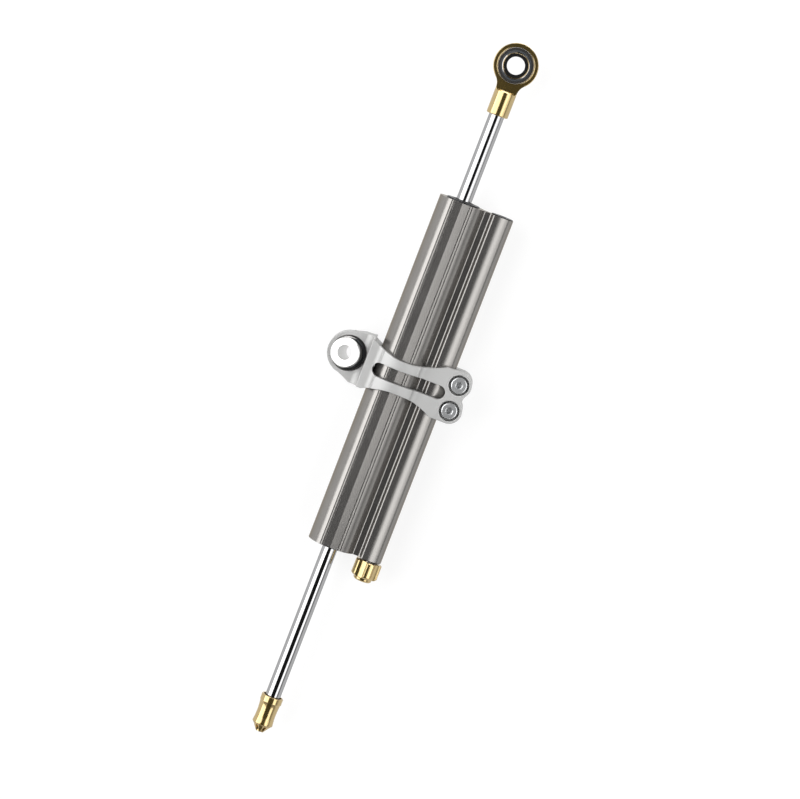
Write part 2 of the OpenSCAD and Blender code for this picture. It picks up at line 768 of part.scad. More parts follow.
// Section of the arms across the body: the first axis is Y and the second is Z
module arm_section() {
    blend_z = arm_h + crown_blend;
    blend_y = sqrt(pow(crown_d / 2 + crown_blend, 2) - blend_z * blend_z);
    circle(d = crown_d);
    translate([-screw_y - lobe_r, -arm_h]) square([screw_y + lobe_r + heel_y, 2 * arm_h]);
    for (z_side = [1, -1], y_side = [1, -1]) scale([y_side, z_side]) difference() {
        polygon([[0, arm_h - over], [0, arm_h], [blend_y, blend_z], [blend_y, arm_h - over]]);
        translate([blend_y, blend_z]) circle(r = crown_blend);
    }
}

// Section of the room that the clamp leaves for the body
module clamp_room() {
    circle(r = tube_r + clamp_gap);
    translate([-tube_spacing, 0]) circle(r = bypass_r + clamp_gap);
    for (side = [1, -1]) scale([1, side]) bypass_crown(shoulder_y - clamp_gap, clamp_gap);
    translate([-tube_spacing, -web_h - web_room]) square([tube_spacing, 2 * (web_h + web_room)]);
    translate([-screw_y - lobe_r - over, -split_gap / 2]) square([screw_y + lobe_r, split_gap]);
}

module clamp() {
    head_seat = arm_h - screw_head_h - screw_sink;
    color(silver) translate([clamp_x, 0, 0]) difference() {
        union() {
            intersection() {
                translate([0, 0, -crown_d / 2]) linear_extrude(crown_d) arm_plan();
                along_x(-heel_w) linear_extrude(2 * heel_w) arm_section();
            }
            translate([0, 0, -pivot_eye_t / 2]) linear_extrude(pivot_eye_t) pivot_plan();
            for (side = [0, 1]) mirror([0, 0, side]) heel_blend();
        }
        along_x(-heel_w) linear_extrude(2 * heel_w) clamp_room();
        translate([pivot_offset, pivot_y, -pivot_eye_t]) cylinder(d = race_d + 2 * seat_gap, h = 2 * pivot_eye_t);
        translate([pivot_offset, pivot_y, -crown_d]) cylinder(d = relief_d, h = crown_d - pivot_eye_t / 2);
        for (side = [1, -1]) translate([side * screw_spacing / 2, -screw_y, 0]) {
            cylinder(d = screw_d + 2 * bolt_gap, h = crown_d);
            translate([0, 0, head_seat]) cylinder(d = screw_head_d + 2 * head_room, h = crown_d);
            translate([0, 0, -crown_d]) cylinder(d = screw_d + 2 * seat_gap, h = crown_d);
        }
    }
}

// Fillet from the face of the pivot eye up the outer wall of the heel
module heel_blend() {
    corner = heel_fillet + over;
    translate([heel_offset - heel_w / 2, heel_y - over, pivot_eye_t / 2 - over]) rotate([90, 0, 90])
        linear_extrude(heel_w) difference() {
            square([corner, corner]);
            translate([corner, corner]) circle(r = heel_fillet);
        }
}

module clamp_screws() {
    head_seat = arm_h - screw_head_h - screw_sink;
    color(chrome) for (side = [1, -1])
        translate([clamp_x + side * screw_spacing / 2, -screw_y, head_seat]) difference() {
            union() {
                chamfered(screw_head_d, screw_head_h, 0, edge_chamfer);
                translate([0, 0, -screw_len]) chamfered(screw_d, screw_len + over, edge_chamfer, 0);
            }
            translate([0, 0, screw_head_h - socket_depth]) cylinder(d = socket_d, h = socket_depth + over, $fn = 6);
        }
}

module at_pivot() {
    translate([clamp_x + pivot_offset, pivot_y, 0]) children();
}

module clamp_race() {
    color(dark_steel) at_pivot() bearing_race();
}

module clamp_liner() {
    color(liner_blue) at_pivot() bearing_liner();
}

module clamp_ball() {
    color(dark_steel) at_pivot() rotate([-sleeve_tilt, 0, 0]) bearing_ball();
}

// Two alike sleeves, one from each side of the ball, bored for the bolt
module pivot_sleeves() {
    spigot_r = ball_bore / 2 - run_gap;
    shoulder = ball_w / 2 + face_gap;
    color(silver) at_pivot() rotate([-sleeve_tilt, 0, 0]) for (side = [0, 180]) rotate([side, 0, 0])
        rotate_extrude() polygon([
            [sleeve_bore / 2, face_gap], [spigot_r, face_gap], [spigot_r, shoulder],
            [sleeve_shoulder_d / 2, shoulder], [sleeve_d / 2, shoulder + sleeve_cone],
            [sleeve_d / 2, sleeve_len / 2 - edge_chamfer], [sleeve_d / 2 - edge_chamfer, sleeve_len / 2],
            [sleeve_bore / 2, sleeve_len / 2]
        ]);
}

// Body of the plug and of the gland, with the body's end at z = 0 and its length going down
module bypass_insert(len) {
    d = bypass_bore_d - 2 * seat_gap;
    difference() {
        union() {
            translate([0, 0, face_gap]) chamfered(plug_head_d, plug_head_h, 0, plug_head_h / 2);
            translate([0, 0, -len]) chamfered(d, len + face_gap + plug_head_h / 2, edge_chamfer, 0);
        }
        translate([0, 0, -insert_oring_depth]) oring_groove(d, plug_oring_t, plug_oring_t + oring_play);
    }
}

module insert_oring() {
    translate([0, 0, -insert_oring_depth]) oring(bypass_bore_d - 2 * seat_gap, plug_oring_t);
}

module bypass_plug() {
    color(black) along_x(body_top, -tube_spacing) difference() {
        bypass_insert(plug_len);
        translate([0, 0, -plug_socket_depth])
            cylinder(d = plug_socket_d, h = plug_socket_depth + over, $fn = 6);
    }
}

module bypass_plug_o_ring() {
    color(black) along_x(body_top, -tube_spacing) insert_oring();
}

module adjuster_gland() {
    color(black) against_x(body_bottom, -tube_spacing) difference() {
        bypass_insert(gland_len);
        translate([0, 0, -gland_len - over]) cylinder(d = stem_d + 2 * run_gap, h = gland_len + 2 * over);
        translate([0, 0, -collar_end - collar_travel]) cylinder(d = collar_d + 2 * run_gap, h = gland_len);
        translate([0, 0, -stem_oring_depth - stem_groove_w / 2])
            cylinder(d = stem_d + 2 * stem_oring_t, h = stem_groove_w);
    }
}

module adjuster_gland_o_ring() {
    color(black) against_x(body_bottom, -tube_spacing) insert_oring();
}

module needle_o_ring() {
    color(black) against_x(body_bottom, -tube_spacing) translate([0, 0, -stem_oring_depth])
        oring(stem_d + 2 * stem_oring_t, stem_oring_t);
}

module valve_seat() {
    color(bronze) along_x(seat_x, -tube_spacing) difference() {
        chamfered(bypass_bore_d - 2 * seat_gap, seat_len, fine_chamfer, fine_chamfer);
        translate([0, 0, -over]) cylinder(d = orifice_d, h = seat_len + 2 * over);
    }
}

module adjuster_needle() {
    color(chrome) along_x(body_bottom, -tube_spacing) {
        translate([0, 0, -needle_end]) chamfered(spindle_d, needle_end + collar_start, fine_chamfer, 0);
        translate([0, 0, collar_start]) chamfered(collar_d, collar_len, fine_chamfer, fine_chamfer);
        translate([0, 0, collar_end]) cylinder(d = stem_d, h = cone_start - collar_end);
        translate([0, 0, cone_start]) cylinder(r1 = stem_d / 2, r2 = cone_end_r, h = cone_len);
    }
}

// Fluted knob, drawn from its face beside the body down to its end
module adjuster_knob() {
    full_len = knob_len + knob_end_len;
    flute_x = knob_d / 2 - flute_depth + flute_r;
    color(gold) against_x(body_bottom - knob_gap, -tube_spacing) difference() {
        union() {
            difference() {
                chamfered(knob_d, knob_len, edge_chamfer, 2 * edge_chamfer);
                for (i = [0 : flute_count - 1]) rotate(knob_turn + i * 360 / flute_count)
                    translate([flute_x, 0, -over]) cylinder(r = flute_r, h = knob_len + 2 * over);
            }
            translate([0, 0, knob_len / 2]) chamfered(knob_end_d, full_len - knob_len / 2, 0, 3 * edge_chamfer / 2);
        }
        translate([0, 0, -over]) cylinder(d = spindle_d + 2 * run_gap, h = knob_bore_depth + over);
        translate([0, 0, knob_len / 2]) rotate([0, 90, grub_turn])
            cylinder(d = grub_d + 2 * seat_gap, h = knob_d);
    }
}

module knob_grub_screw() {
    grub_start = spindle_d / 2 + 2 * run_gap;
    grub_end = knob_d / 2 - flute_depth - fine_chamfer;
    color(dark_steel) against_x(body_bottom - knob_gap, -tube_spacing)
        translate([0, 0, knob_len / 2]) rotate([0, 90, grub_turn])
            translate([0, 0, grub_start]) difference() {
                chamfered(grub_d, grub_end - grub_start, fine_chamfer, fine_chamfer / 2);
                translate([0, 0, grub_end - grub_start - grub_socket_depth])
                    cylinder(d = grub_d / 2, h = grub_socket_depth + over, $fn = 6);
            }
}

barrel();
upper_seal_head();
lower_seal_head();
rod_wipers();
rod_seals();
rod_bushes();
seal_head_o_rings();
bypass_plug();
bypass_plug_o_ring();
adjuster_gland();
adjuster_gland_o_ring();
needle_o_ring();
valve_seat();
piston();
piston_ring();
piston_rod();
piston_clips();
rod_end();
rod_end_race();
rod_end_liner();
rod_end_ball();
rod_tip();
clamp();
clamp_screws();
clamp_race();
clamp_liner();
clamp_ball();
pivot_sleeves();
adjuster_needle();
adjuster_knob();
knob_grub_screw();
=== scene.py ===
import math

import bpy
from mathutils import Matrix, Vector


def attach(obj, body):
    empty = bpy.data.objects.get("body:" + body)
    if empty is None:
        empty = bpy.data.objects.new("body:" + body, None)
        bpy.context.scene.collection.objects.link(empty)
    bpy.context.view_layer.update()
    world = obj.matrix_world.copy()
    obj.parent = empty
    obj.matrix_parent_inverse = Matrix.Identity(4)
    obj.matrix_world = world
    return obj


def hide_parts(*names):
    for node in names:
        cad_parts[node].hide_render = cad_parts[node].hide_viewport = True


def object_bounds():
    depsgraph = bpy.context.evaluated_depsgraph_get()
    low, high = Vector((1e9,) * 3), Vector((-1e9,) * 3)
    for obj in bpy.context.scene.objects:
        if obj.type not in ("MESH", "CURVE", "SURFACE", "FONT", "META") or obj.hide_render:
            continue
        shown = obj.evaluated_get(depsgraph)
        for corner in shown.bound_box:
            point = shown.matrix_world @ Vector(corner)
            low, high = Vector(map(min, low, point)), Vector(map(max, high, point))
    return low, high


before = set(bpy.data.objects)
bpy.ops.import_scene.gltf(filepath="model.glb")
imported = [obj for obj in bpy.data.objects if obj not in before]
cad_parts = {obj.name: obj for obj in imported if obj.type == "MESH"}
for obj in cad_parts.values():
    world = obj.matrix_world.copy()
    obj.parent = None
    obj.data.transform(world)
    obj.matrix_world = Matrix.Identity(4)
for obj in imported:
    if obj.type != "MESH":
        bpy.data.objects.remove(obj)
cad_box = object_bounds()
mm = 0.001

# ---------------------------------------------------------------------------------------------
# Body. A main tube and a bypass tube in one aluminium extrusion, sawn to length, faced at both
# ends and hard anodised in a warm titanium grey. The die leaves fine lines along it.
# ---------------------------------------------------------------------------------------------
body_rim = 0.06 * mm
body_grey = (0.238, 0.23, 0.221, 1)
body_rubbed = (0.6, 0.58, 0.56, 1)


def only(piece):
    """Selects this piece alone and makes it active."""
    bpy.ops.object.select_all(action="DESELECT")
    piece.select_set(True)
    bpy.context.view_layer.objects.active = piece


def clean_copy(node, name):
    """A copy of a CAD node with its triangles merged into whole faces."""
    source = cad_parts[node]
    piece = source.copy()
    piece.data = source.data.copy()
    piece.name = name
    piece.parent = None
    bpy.context.collection.objects.link(piece)
    only(piece)
    bpy.ops.mesh.customdata_custom_splitnormals_clear()
    bpy.ops.object.mode_set(mode="EDIT")
    bpy.ops.mesh.select_all(action="SELECT")
    bpy.ops.mesh.remove_doubles(threshold=0.002 * mm)
    bpy.ops.mesh.dissolve_limited(angle_limit=math.radians(1), delimit={"NORMAL"})
    bpy.ops.object.mode_set(mode="OBJECT")
    return piece


def break_edges(piece, rim, steps=2, sharp=30, crease=None):
    """Breaks a piece's sharp edges with a small rounded rim, as a deburring tool leaves them. Flat faces
    stay flat in the shading, because the larger face beside a rim sets the normals there. crease tells
    whether a point lies on a shallow corner that stays crisp."""
    only(piece)
    edge = piece.modifiers.new("rim", "BEVEL")
    edge.width = rim
    edge.segments = steps
    edge.limit_method = "ANGLE"
    edge.angle_limit = math.radians(sharp)
    edge.use_clamp_overlap = False
    edge.miter_outer = "MITER_ARC"
    bpy.ops.object.modifier_apply(modifier=edge.name)
    bpy.ops.object.shade_smooth_by_angle(angle=math.radians(sharp))
    for line in piece.data.edges:
        if crease and all(crease(piece.data.vertices[v].co) for v in line.vertices):
            line.use_edge_sharp = True
    even = piece.modifiers.new("flat faces", "WEIGHTED_NORMAL")
    even.keep_sharp = True
    bpy.ops.object.modifier_apply(modifier=even.name)


def broken_edges(node, name, rim, steps=2, sharp=30, crease=None):
    """A copy of a CAD node with its edges broken."""
    piece = clean_copy(node, name)
    break_edges(piece, rim, steps, sharp, crease)
    return piece


def fit(piece, body, node, finish):
    """Puts a finished piece in a CAD node's place, on the body that carries it."""
    piece.data.materials.clear()
    piece.data.materials.append(finish)
    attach(piece, body)
    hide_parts(node)


def finish_node(node, finish):
    """Gives a CAD node that stays its finish."""
    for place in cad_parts[node].material_slots:
        place.material = finish


def new_group(name, inputs, outputs):
    """An empty shader group with named float or vector sockets."""
    group = bpy.data.node_groups.new(name, "ShaderNodeTree")
    for label, value in inputs:
        kind = "NodeSocketVector" if isinstance(value, tuple) else "NodeSocketFloat"
        socket = group.interface.new_socket(label, in_out="INPUT", socket_type=kind)
        socket.default_value = value
    for label in outputs:
        group.interface.new_socket(label, in_out="OUTPUT", socket_type="NodeSocketFloat")
    return group, group.nodes.new("NodeGroupInput"), group.nodes.new("NodeGroupOutput")


# Grain: noise on the piece's own coordinates, stretched along the way the tool went
grain, given, told = new_group(
    "Tool grain", [("Stretch", (1.0, 1.0, 1.0)), ("Fineness", 3000.0)], ["Grain"])
place = grain.nodes.new("ShaderNodeTexCoord")
stretch = grain.nodes.new("ShaderNodeVectorMath")
stretch.operation = "MULTIPLY"
noise = grain.nodes.new("ShaderNodeTexNoise")
noise.inputs["Detail"].default_value = 3
noise.inputs["Roughness"].default_value = 0.6
grain.links.new(place.outputs["Object"], stretch.inputs[0])
grain.links.new(given.outputs["Stretch"], stretch.inputs[1])
grain.links.new(stretch.outputs["Vector"], noise.inputs["Vector"])
grain.links.new(given.outputs["Fineness"], noise.inputs["Scale"])
grain.links.new(noise.outputs["Fac"], told.inputs["Grain"])

# Turning marks: fine rings round an axis, as a lathe tool leaves them on a face
rings, given, told = new_group(
    "Turning marks",
    [("Centre", (0.0, 0.0, 0.0)), ("Axis", (0.0, 0.0, 1.0)), ("Fineness", 9000.0)],
    ["Grain"])
place = rings.nodes.new("ShaderNodeTexCoord")
from_centre = rings.nodes.new("ShaderNodeVectorMath")
from_centre.operation = "SUBTRACT"
across = rings.nodes.new("ShaderNodeVectorMath")
across.operation = "CROSS_PRODUCT"
radius = rings.nodes.new("ShaderNodeVectorMath")
radius.operation = "LENGTH"
ring = rings.nodes.new("ShaderNodeTexNoise")
ring.noise_dimensions = "1D"
ring.inputs["Detail"].default_value = 2
rings.links.new(place.outputs["Object"], from_centre.inputs[0])
rings.links.new(given.outputs["Centre"], from_centre.inputs[1])
rings.links.new(from_centre.outputs["Vector"], across.inputs[0])
rings.links.new(given.outputs["Axis"], across.inputs[1])
rings.links.new(across.outputs["Vector"], radius.inputs[0])
rings.links.new(radius.outputs["Value"], ring.inputs["W"])
rings.links.new(given.outputs["Fineness"], ring.inputs["Scale"])
rings.links.new(ring.outputs["Fac"], told.inputs["Grain"])

# Wear: where a rounded corner turns away from the face beside it, broken up by noise. The cosine of the
# turn runs from flat, where wear starts, to full.
flat_turn = 0.995
flat_turn_ragged = -0.12
full_turn = 0.78
wear, given, told = new_group("Rubbed edges", [("Width", 0.4 * mm), ("Ragged", 0.5)], ["Rubbed"])
corner = wear.nodes.new("ShaderNodeBevel")
corner.samples = 4
face = wear.nodes.new("ShaderNodeNewGeometry")
turn = wear.nodes.new("ShaderNodeVectorMath")
turn.operation = "DOT_PRODUCT"
patches = wear.nodes.new("ShaderNodeGroup")
patches.node_tree = grain
patches.inputs["Fineness"].default_value = 700
sunk = wear.nodes.new("ShaderNodeMath")
sunk.operation = "MULTIPLY"
start = wear.nodes.new("ShaderNodeMath")
start.operation = "MULTIPLY_ADD"
start.inputs[1].default_value = flat_turn_ragged
start.inputs[2].default_value = flat_turn
shown = wear.nodes.new("ShaderNodeMapRange")
shown.interpolation_type = "SMOOTHSTEP"
shown.inputs["From Min"].default_value = full_turn
shown.inputs["To Min"].default_value = 1
shown.inputs["To Max"].default_value = 0
wear.links.new(given.outputs["Width"], corner.inputs["Radius"])
wear.links.new(corner.outputs["Normal"], turn.inputs[0])
wear.links.new(face.outputs["True Normal"], turn.inputs[1])
wear.links.new(patches.outputs["Grain"], sunk.inputs[0])
wear.links.new(given.outputs["Ragged"], sunk.inputs[1])
wear.links.new(sunk.outputs["Value"], start.inputs[0])
wear.links.new(turn.outputs["Value"], shown.inputs["Value"])
wear.links.new(start.outputs["Value"], shown.inputs["From Max"])
wear.links.new(shown.outputs["Result"], told.inputs["Rubbed"])

# Handling: soft smudges left by hands and cloths
smudge, given, told = new_group("Handling smudges", [("Size", 70.0)], ["Smudge"])
place = smudge.nodes.new("ShaderNodeTexCoord")
cloud = smudge.nodes.new("ShaderNodeTexNoise")
cloud.inputs["Detail"].default_value = 5
cloud.inputs["Distortion"].default_value = 0.6
spread = smudge.nodes.new("ShaderNodeMapRange")
spread.inputs["From Min"].default_value = 0.35
spread.inputs["From Max"].default_value = 0.7
smudge.links.new(place.outputs["Object"], cloud.inputs["Vector"])
smudge.links.new(given.outputs["Size"], cloud.inputs["Scale"])
smudge.links.new(cloud.outputs["Fac"], spread.inputs["Value"])
smudge.links.new(spread.outputs["Result"], told.inputs["Smudge"])


def add_group(nodes, group, **values):
    """Places a shader group in a material, with this material's values."""
    node = nodes.new("ShaderNodeGroup")
    node.node_tree = group
    for label, value in values.items():
        node.inputs[label].default_value = value
    return node


def new_metal(name, colour, rubbed, gloss, metallic=1.0, coat=0.0, coat_gloss=0.1,
              stretch=(1.0, 1.0, 1.0), fineness=3000.0, relief=0.002 * mm, edge=0.35 * mm, ragged=0.5,
              edge_share=1.0, smudges=70.0, shade=0.06, rim_tint=(1.0, 1.0, 1.0), turned=None):
    """A metal finish: tool grain in its gloss and relief, smudges, and edges rubbed to another colour.
    gloss is the roughness of the smoothest and of the roughest spots, rim_tint the colour of a grazing
    reflection, and turned the centre and axis of the rings on a piece that shows its turned face."""
    finish = bpy.data.materials.new(name)
    finish.use_nodes = True
    nodes, links = finish.node_tree.nodes, finish.node_tree.links
    surface = nodes["Principled BSDF"]
    surface.inputs["Metallic"].default_value = metallic
    surface.inputs["Coat Weight"].default_value = coat
    surface.inputs["Coat Roughness"].default_value = coat_gloss
    surface.inputs["Specular Tint"].default_value = (*rim_tint, 1)
    if turned:
        lines = add_group(nodes, rings, Centre=turned[0], Axis=turned[1], Fineness=fineness)
    else:
        lines = add_group(nodes, grain, Stretch=stretch, Fineness=fineness)
    hands = add_group(nodes, smudge, Size=smudges)
    edges = add_group(nodes, wear, Width=edge, Ragged=ragged)
    # Colour: a little lighter and darker with the grain and smudges, then the rubbed edges
    tone = nodes.new("ShaderNodeMix")
    tone.data_type = "RGBA"
    tone.inputs["A"].default_value = tuple(c * (1 - shade) for c in colour[:3]) + (1,)
    tone.inputs["B"].default_value = tuple(min(1, c * (1 + shade)) for c in colour[:3]) + (1,)
    blend = nodes.new("ShaderNodeMath")
    blend.operation = "MULTIPLY_ADD"
    blend.inputs[1].default_value = 0.5
    half = nodes.new("ShaderNodeMath")
    half.operation = "MULTIPLY"
    half.inputs[1].default_value = 0.5
    links.new(hands.outputs["Smudge"], half.inputs[0])
    links.new(lines.outputs["Grain"], blend.inputs[0])
    links.new(half.outputs["Value"], blend.inputs[2])
    links.new(blend.outputs["Value"], tone.inputs["Factor"])
    bare = nodes.new("ShaderNodeMix")
    bare.data_type = "RGBA"
    bare.inputs["B"].default_value = rubbed
    share = nodes.new("ShaderNodeMath")
    share.operation = "MULTIPLY"
    share.inputs[1].default_value = edge_share
    links.new(edges.outputs["Rubbed"], share.inputs[0])
    links.new(share.outputs["Value"], bare.inputs["Factor"])
    links.new(tone.outputs["Result"], bare.inputs["A"])
    links.new(bare.outputs["Result"], surface.inputs["Base Color"])
    # Gloss: rougher where the grain and the smudges are strong
    rough = nodes.new("ShaderNodeMapRange")
    rough.inputs["To Min"].default_value, rough.inputs["To Max"].default_value = gloss
    links.new(blend.outputs["Value"], rough.inputs["Value"])
    links.new(rough.outputs["Result"], surface.inputs["Roughness"])
    # Relief: the grain stands in and out by a few thousandths of a millimetre
    raised = nodes.new("ShaderNodeBump")
    raised.inputs["Distance"].default_value = relief
    links.new(lines.outputs["Grain"], raised.inputs["Height"])
    links.new(raised.outputs["Normal"], surface.inputs["Normal"])
    return finish


body_finish = new_metal(
    "titanium grey anodising", body_grey, body_rubbed, gloss=(0.17, 0.25), metallic=0.8,
    stretch=(0.02, 1.0, 1.0), fineness=2600.0, relief=0.0006 * mm, edge=0.2 * mm, edge_share=0.25,
    rim_tint=(0.55, 0.49, 0.41))
crease_reach = 0.02 * mm
land_height = 9 * mm


def on_land_crease(point):
    """Tells whether a point lies on the crease down the middle of the body's front or back land."""
    return abs(point.y) < crease_reach and abs(point.z) > land_height


body = broken_edges("barrel", "extruded_body", body_rim, crease=on_land_crease)
fit(body, "barrel", "barrel", body_finish)

# ---------------------------------------------------------------------------------------------
# Seal heads. Turned aluminium plugs, black anodised, that close the main tube. Each carries a
# bronze bush, a seal, a wiper round the rod, and an O-ring in its groove.
# ---------------------------------------------------------------------------------------------
head_rim = 0.12 * mm
black_finish = new_metal(
    "black anodising", (0.022, 0.022, 0.024, 1), (0.2, 0.2, 0.2, 1), gloss=(0.28, 0.4), metallic=0.55,
    stretch=(1.0, 0.05, 0.05), fineness=5000.0, relief=0.002 * mm, edge=0.2 * mm, edge_share=0.35,
    shade=0.12)
for end in ("upper", "lower"):
    head = broken_edges(end + "_seal_head", end + "_head_turned", head_rim)
    fit(head, "barrel", end + "_seal_head", black_finish)

# Rubber: a matt moulded skin with fine pits and a little dust
rubber_finish = bpy.data.materials.new("moulded rubber")
rubber_finish.use_nodes = True
nodes, links = rubber_finish.node_tree.nodes, rubber_finish.node_tree.links
surface = nodes["Principled BSDF"]
surface.inputs["Specular IOR Level"].default_value = 0.4
pits = add_group(nodes, grain, Fineness=6000.0)
dust = add_group(nodes, smudge, Size=300.0)
skin = nodes.new("ShaderNodeMix")
skin.data_type = "RGBA"
skin.inputs["A"].default_value = (0.012, 0.012, 0.013, 1)
skin.inputs["B"].default_value = (0.035, 0.034, 0.032, 1)
dull = nodes.new("ShaderNodeMapRange")
dull.inputs["To Min"].default_value = 0.45
dull.inputs["To Max"].default_value = 0.7
skin_relief = nodes.new("ShaderNodeBump")
skin_relief.inputs["Distance"].default_value = 0.006 * mm
links.new(dust.outputs["Smudge"], skin.inputs["Factor"])
links.new(skin.outputs["Result"], surface.inputs["Base Color"])
links.new(pits.outputs["Grain"], dull.inputs["Value"])
links.new(dull.outputs["Result"], surface.inputs["Roughness"])
links.new(pits.outputs["Grain"], skin_relief.inputs["Height"])
links.new(skin_relief.outputs["Normal"], surface.inputs["Normal"])
for node in ("rod_wipers", "rod_seals", "seal_head_o_rings"):
    finish_node(node, rubber_finish)

bronze_finish = new_metal(
    "sintered bronze", (0.55, 0.38, 0.18, 1), (0.7, 0.5, 0.26, 1), gloss=(0.3, 0.45),
    fineness=4000.0, relief=0.006 * mm, edge_share=0.5, shade=0.15)
finish_node("rod_bushes", bronze_finish)

# ---------------------------------------------------------------------------------------------
# Piston rod. Steel bar, ground and hard chromed, that runs through both heads. The piston sits
# on it between two snap rings and slides on a bronze-filled ring.
# ---------------------------------------------------------------------------------------------
chrome_finish = new_metal(
    "ground hard chrome", (0.39, 0.39, 0.395, 1), (0.5, 0.5, 0.51, 1), gloss=(0.01, 0.035),
    stretch=(1.0, 0.08, 0.08), fineness=7000.0, relief=0.0002 * mm, edge_share=0.3, shade=0.02,
    rim_tint=(0.6, 0.6, 0.6))
finish_node("piston_rod", chrome_finish)
machined_finish = new_metal(
    "machined aluminium", (0.68, 0.68, 0.67, 1), (0.85, 0.85, 0.84, 1), gloss=(0.2, 0.32),
    stretch=(1.0, 0.06, 0.06), fineness=5000.0, relief=0.002 * mm)
finish_node("piston", machined_finish)
finish_node("piston_ring", bronze_finish)
bearing_finish = new_metal(
    "turned bearing steel", (0.48, 0.47, 0.47, 1), (0.66, 0.65, 0.64, 1), gloss=(0.1, 0.18), metallic=0.95,
    fineness=5000.0, relief=0.006 * mm, edge=0.2 * mm, edge_share=0.7, turned=((0, 0, 0), (0, 0, 1)))
finish_node("piston_clips", bearing_finish)

# ---------------------------------------------------------------------------------------------
# Rod end. An eye and shank milled and turned from one bar of aluminium, gold anodised, screwed
# on the rod. A spherical bearing is pressed in the eye: a steel race, a woven liner and a ball.
# ---------------------------------------------------------------------------------------------
eye_rim = 0.08 * mm
gold_finish = new_metal(
    "gold anodising", (0.415, 0.288, 0.078, 1), (0.56, 0.42, 0.17, 1), gloss=(0.13, 0.2), metallic=0.9,
    coat=1.0, coat_gloss=0.1, stretch=(1.0, 0.06, 0.06), fineness=6000.0, relief=0.001 * mm, edge=0.2 * mm,
    edge_share=0.4, rim_tint=(0.7, 0.56, 0.3))
# The dyed oxide skin is a hard clear layer that reflects more than a varnish does
gold_finish.node_tree.nodes["Principled BSDF"].inputs["Coat IOR"].default_value = 2.0
eye = broken_edges("rod_end", "rod_end_eye", eye_rim)
fit(eye, "rod", "rod_end", gold_finish)
ball_finish = new_metal(
    "ground and polished balls", (0.72, 0.71, 0.7, 1), (0.85, 0.84, 0.83, 1), gloss=(0.06, 0.12),
    fineness=6000.0, relief=0.0006 * mm, edge=0.2 * mm, edge_share=0.5, shade=0.04)
finish_node("rod_end_race", bearing_finish)
finish_node("rod_end_ball", ball_finish)

# Liner: a dark woven cloth bonded in the race, so two sets of threads cross at right angles
liner_finish = bpy.data.materials.new("woven liner")
liner_finish.use_nodes = True
nodes, links = liner_finish.node_tree.nodes, liner_finish.node_tree.links
surface = nodes["Principled BSDF"]
place = nodes.new("ShaderNodeTexCoord")
threads = []
for direction in ("X", "Z"):
    thread = nodes.new("ShaderNodeTexWave")
    thread.bands_direction = direction
    thread.inputs["Scale"].default_value = 900
    links.new(place.outputs["Object"], thread.inputs["Vector"])
    threads.append(thread)
weave = nodes.new("ShaderNodeMath")
weave.operation = "MULTIPLY"
links.new(threads[0].outputs["Fac"], weave.inputs[0])
links.new(threads[1].outputs["Fac"], weave.inputs[1])
cloth = nodes.new("ShaderNodeMix")
cloth.data_type = "RGBA"
cloth.inputs["A"].default_value = (0.03, 0.035, 0.04, 1)
cloth.inputs["B"].default_value = (0.12, 0.14, 0.16, 1)
links.new(weave.outputs["Value"], cloth.inputs["Factor"])
links.new(cloth.outputs["Result"], surface.inputs["Base Color"])
matt = nodes.new("ShaderNodeMapRange")
matt.inputs["To Min"].default_value = 0.7
matt.inputs["To Max"].default_value = 0.5
links.new(weave.outputs["Value"], matt.inputs["Value"])
links.new(matt.outputs["Result"], surface.inputs["Roughness"])
woven = nodes.new("ShaderNodeBump")
woven.inputs["Distance"].default_value = 0.02 * mm
links.new(weave.outputs["Value"], woven.inputs["Height"])
links.new(woven.outputs["Normal"], surface.inputs["Normal"])
for node in ("rod_end_liner", "clamp_liner"):
    finish_node(node, liner_finish)

# ---------------------------------------------------------------------------------------------
# Rod tip. Turned aluminium, gold anodised, with a recess round the rod and notches in its end
# for a pin spanner. It screws on the rod's lower end.
# ---------------------------------------------------------------------------------------------
tip_rim = 0.12 * mm
tip = broken_edges("rod_tip", "rod_tip_turned", tip_rim)
fit(tip, "rod", "rod_tip", gold_finish)

# ---------------------------------------------------------------------------------------------
# Clamp. Milled from a block of aluminium and bead blasted. It grips both tubes and is closed by
# two socket screws of plated steel.
# ---------------------------------------------------------------------------------------------
clamp_rim = 0.3 * mm
blasted_finish = new_metal(
    "bead-blasted aluminium", (0.5, 0.5, 0.495, 1), (0.7, 0.7, 0.69, 1), gloss=(0.58, 0.7), metallic=0.75,
    fineness=2400.0, relief=0.02 * mm, edge=0.35 * mm, edge_share=0.8, shade=0.06)
clamp = broken_edges("clamp", "clamp_milled", clamp_rim)
fit(clamp, "clamp", "clamp", blasted_finish)

screw_rim = 0.2 * mm
screw_finish = new_metal(
    "bright plated steel", (0.72, 0.73, 0.74, 1), (0.85, 0.85, 0.85, 1), gloss=(0.16, 0.24), metallic=0.7,
    fineness=5000.0, relief=0.001 * mm, edge=0.25 * mm, edge_share=0.6)
screws = broken_edges("clamp_screws", "clamp_socket_screws", screw_rim)
fit(screws, "clamp", "clamp_screws", screw_finish)

